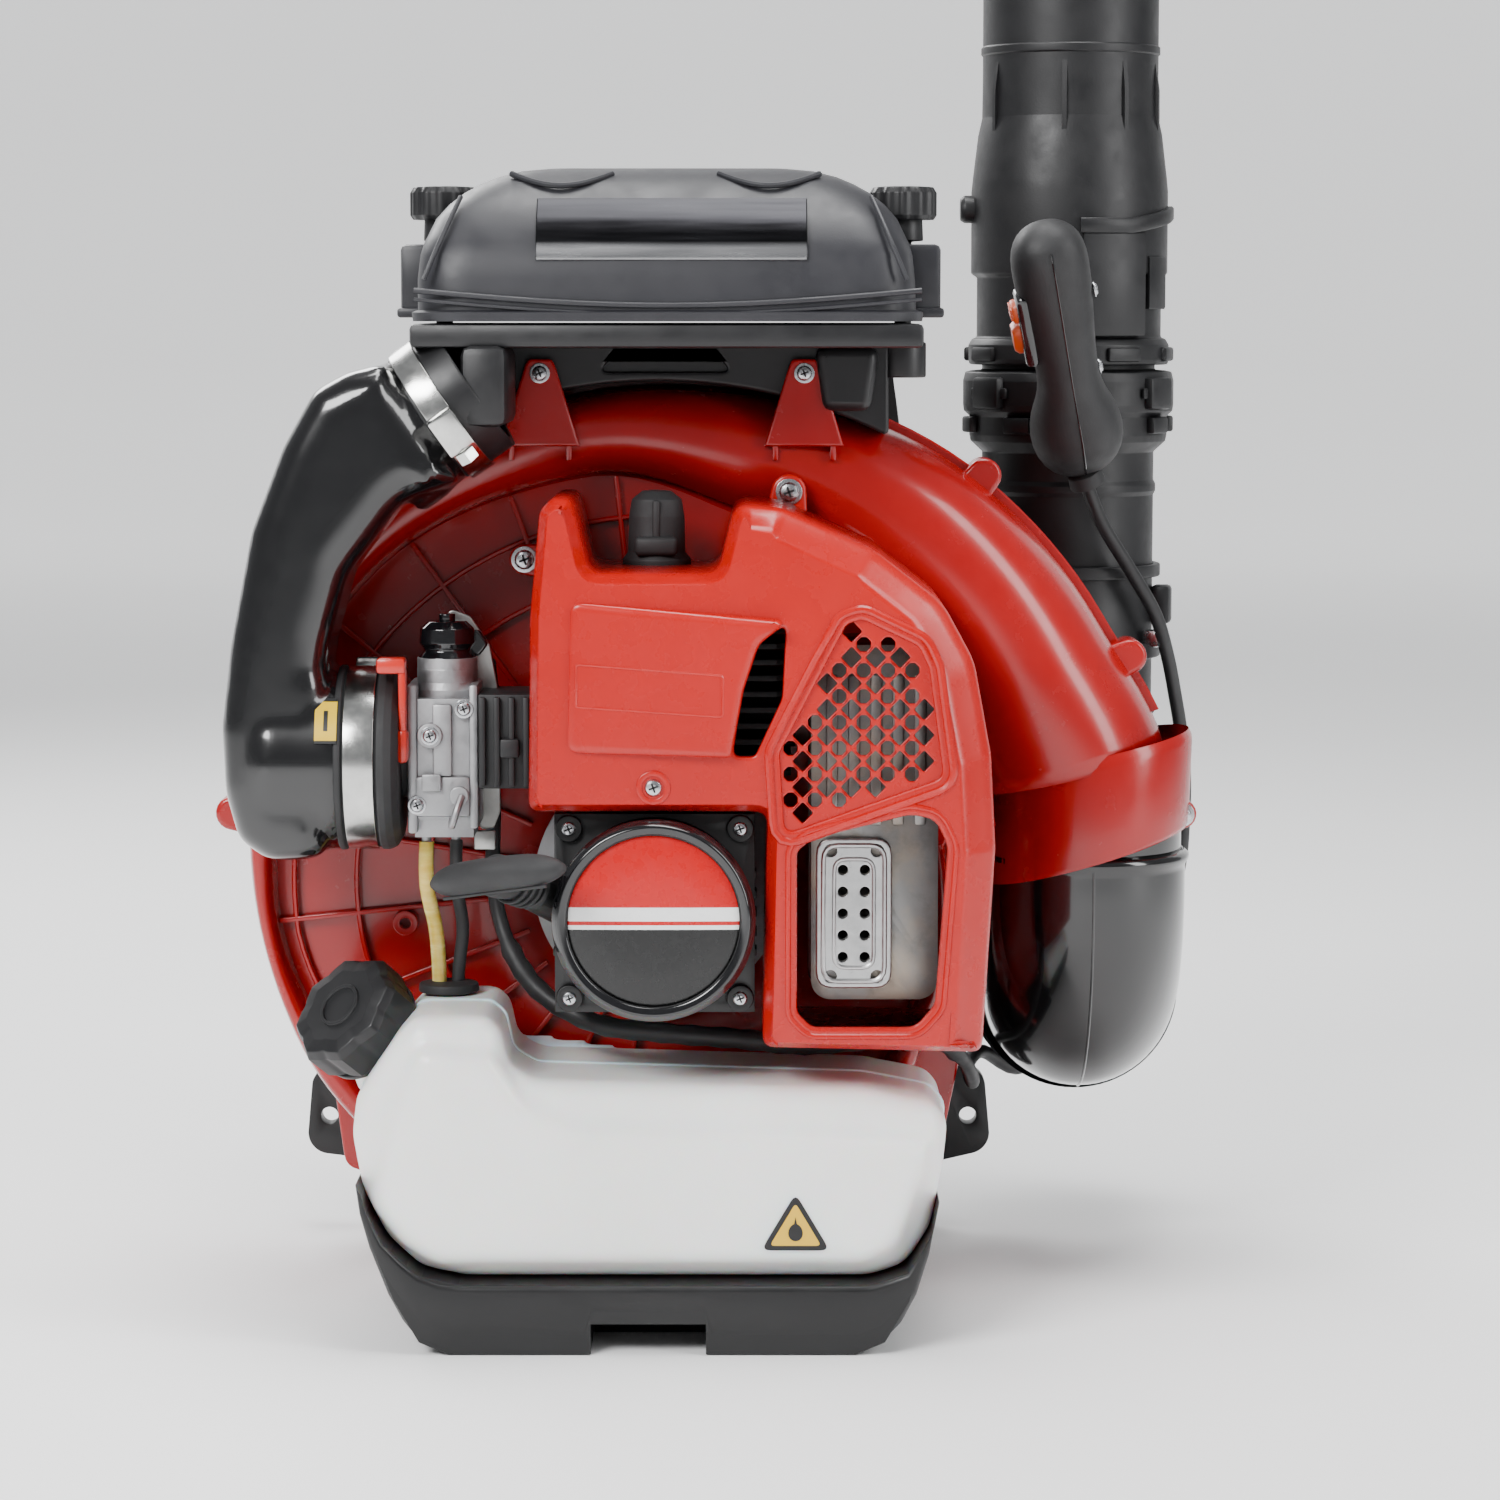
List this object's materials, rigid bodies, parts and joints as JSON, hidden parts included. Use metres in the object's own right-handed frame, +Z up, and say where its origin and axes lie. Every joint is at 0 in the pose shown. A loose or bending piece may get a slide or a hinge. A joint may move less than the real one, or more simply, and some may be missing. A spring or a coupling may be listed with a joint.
{
  "type": "backpack leaf blower",
  "caption": "Backpack leaf blower: a two-stroke engine and fan in a spiral housing on a padded carrying frame, with fuel tank, air cleaner, hose and blower pipe with a grip.",
  "frame": {"origin": "on the ground, in the middle of the foot's underside, below the fan axis", "axes": "+Z up, +X to the right seen from the engine's side, +Y towards the wearer's back"},
  "size_m": [0.4423, 0.3897, 0.88],
  "materials": {
    "red_plastic": "gloss moulded",
    "black_plastic": "satin moulded",
    "black_gloss": "gloss blow-moulded",
    "cover_grey": "satin moulded",
    "rubber": "matt",
    "steel": "plain",
    "alloy": "die cast",
    "alloy_black": "die cast, painted black",
    "tank_white": "translucent natural",
    "orange_plastic": "satin moulded",
    "webbing": "woven",
    "pad_fabric": "knitted mesh over foam",
    "badge": "printed film",
    "fuel_hose": "translucent yellow",
    "filter_media": "pleated paper",
    "ceramic": "glazed"
  },
  "bodies": {
    "frame": {"back_frame": "black_plastic", "back_pad": "pad_fabric", "strap_left": "webbing", "strap_right": "webbing", "strap_buckles": "black_plastic", "vibration_mounts": "rubber", "volute_front": "red_plastic", "volute_rear": "red_plastic", "intake_grille": "black_plastic", "crankcase": "alloy", "cylinder": "alloy_black", "piston": "alloy", "connecting_rod": "steel", "crank_bearings": "steel", "ignition_coil": "black_plastic", "spark_plug": "ceramic", "plug_boot": "rubber", "muffler": "steel", "muffler_plate": "steel", "engine_cover": "red_plastic", "starter_housing": "black_plastic", "starter_badge": "badge", "recoil_spring": "steel", "intake_manifold": "black_plastic", "carburettor": "alloy", "intake_duct": "black_gloss", "intake_boot": "rubber", "intake_clamps": "steel", "cleaner_base": "black_plastic", "filter_element": "filter_media", "fuel_tank": "tank_white", "tank_grommet": "rubber", "fuel_line": "fuel_hose", "return_line": "rubber", "body_screws": "steel", "throttle_cable": "rubber"},
    "rotor": {"crankshaft": "steel", "flywheel": "alloy", "fan": "black_plastic", "starter_cup": "steel"},
    "reel": {"starter_reel": "black_plastic"},
    "pull": {"starter_handle": "black_plastic"},
    "choke": {"choke_lever": "orange_plastic"},
    "throttle": {"throttle_arm": "black_plastic"},
    "cover": {"cleaner_cover": "cover_grey"},
    "left_knob": {"knob_left": "black_plastic"},
    "right_knob": {"knob_right": "black_plastic"},
    "cap_seal": {"cap_gasket": "rubber"},
    "cap": {"fuel_cap": "black_plastic"},
    "elbow": {"elbow": "black_gloss", "hose_lower": "rubber"},
    "hose_middle": {"hose_ring": "black_plastic"},
    "pipe": {"hose_upper": "rubber", "hose_clamps": "steel", "lower_pipe": "black_plastic", "handle_shells": "black_plastic"},
    "trigger": {"trigger": "black_plastic"},
    "stop_switch": {"stop_switch": "orange_plastic"},
    "cruise_lever": {"cruise_lever": "orange_plastic"},
    "nozzle": {"nozzle": "black_plastic"}
  },
  "joints": [
    {"name": "engine_spin", "type": "hinge", "parent": "frame", "child": "rotor", "pos_m": [0, -0.038, 0.178], "axis": [0, 1, 0], "continuous": true},
    {"name": "starter_pull", "type": "slide", "parent": "frame", "child": "pull", "axis": [-0.5704, -0.7605, 0.3102], "range_m": [0, 0.6], "stiffness_N_per_m": 12, "springref_m": -0.5},
    {"name": "reel_turn", "type": "hinge", "parent": "frame", "child": "reel", "pos_m": [0, -0.1, 0.178], "axis": [0, 1, 0], "range_deg": [-1440, 5]},
    {"name": "choke_turn", "type": "hinge", "parent": "frame", "child": "choke", "pos_m": [-0.104, -0.0735, 0.246], "axis": [1, 0, 0], "range_deg": [0, 55]},
    {"name": "throttle_turn", "type": "hinge", "parent": "frame", "child": "throttle", "pos_m": [-0.087, -0.052, 0.275], "axis": [0, 0, 1], "range_deg": [0, 70]},
    {"name": "cover_lift", "type": "slide", "parent": "frame", "child": "cover", "axis": [0, 0, 1], "range_m": [0, 0.12]},
    {"name": "left_knob_turn", "type": "hinge", "parent": "cover", "child": "left_knob", "pos_m": [-0.091, 0.002, 0.47], "axis": [0, 0, 1], "continuous": true},
    {"name": "right_knob_turn", "type": "hinge", "parent": "cover", "child": "right_knob", "pos_m": [0.104, 0.002, 0.47], "axis": [0, 0, 1], "continuous": true},
    {"name": "cap_lift", "type": "slide", "parent": "frame", "child": "cap_seal", "axis": [-0.5503, -0.5803, 0.6003], "range_m": [0, 0.0045]},
    {"name": "cap_turn", "type": "hinge", "parent": "cap_seal", "child": "cap", "pos_m": [-0.118, -0.058, 0.122], "axis": [-0.5503, -0.5803, 0.6003], "range_deg": [0, 540]},
    {"name": "elbow_swivel", "type": "hinge", "parent": "frame", "child": "elbow", "pos_m": [0.1875, 0.045, 0.2], "axis": [0, 0, 1], "range_deg": [-25, 6]},
    {"name": "hose_bend_lower", "type": "hinge", "parent": "elbow", "child": "hose_middle", "pos_m": [0.1875, 0.138, 0.116], "axis": [-1, 0, 0], "range_deg": [0, 50], "deforming": ["hose_lower"]},
    {"name": "hose_bend_upper", "type": "hinge", "parent": "hose_middle", "child": "pipe", "pos_m": [0.1875, 0.172, 0.15], "axis": [-1, 0, 0], "range_deg": [0, 50], "deforming": ["hose_upper", "throttle_cable"]},
    {"name": "trigger_squeeze", "type": "hinge", "parent": "pipe", "child": "trigger", "pos_m": [0.16966, 0.07439, 0.45158], "axis": [-0.9796, 0, -0.2011], "range_deg": [0, 16], "stiffness_Nm_per_rad": 0.4, "springref_deg": -28.65},
    {"name": "stop_switch_press", "type": "slide", "parent": "pipe", "child": "stop_switch", "axis": [0.9796, 0, 0.2011], "range_m": [0, 0.002], "stiffness_N_per_m": 400, "springref_m": -0.003},
    {"name": "cruise_lever_turn", "type": "hinge", "parent": "pipe", "child": "cruise_lever", "pos_m": [0.16218, 0.08298, 0.41343], "axis": [0.9796, 0, 0.2011], "range_deg": [0, 30]},
    {"name": "nozzle_twist", "type": "hinge", "parent": "pipe", "child": "nozzle", "pos_m": [0.1875, 0.172, 0.42], "axis": [0, 0, 1], "range_deg": [0, 25]}
  ],
  "couplings": [
    {"joint": "reel_turn", "follows": "starter_pull", "rad_per_m": -41.667},
    {"joint": "throttle_turn", "follows": "trigger_squeeze", "ratio": 4.375},
    {"joint": "cap_turn", "follows": "cap_lift", "rad_per_m": 2094.4},
    {"joint": "hose_bend_upper", "follows": "hose_bend_lower", "ratio": 1}
  ]
}
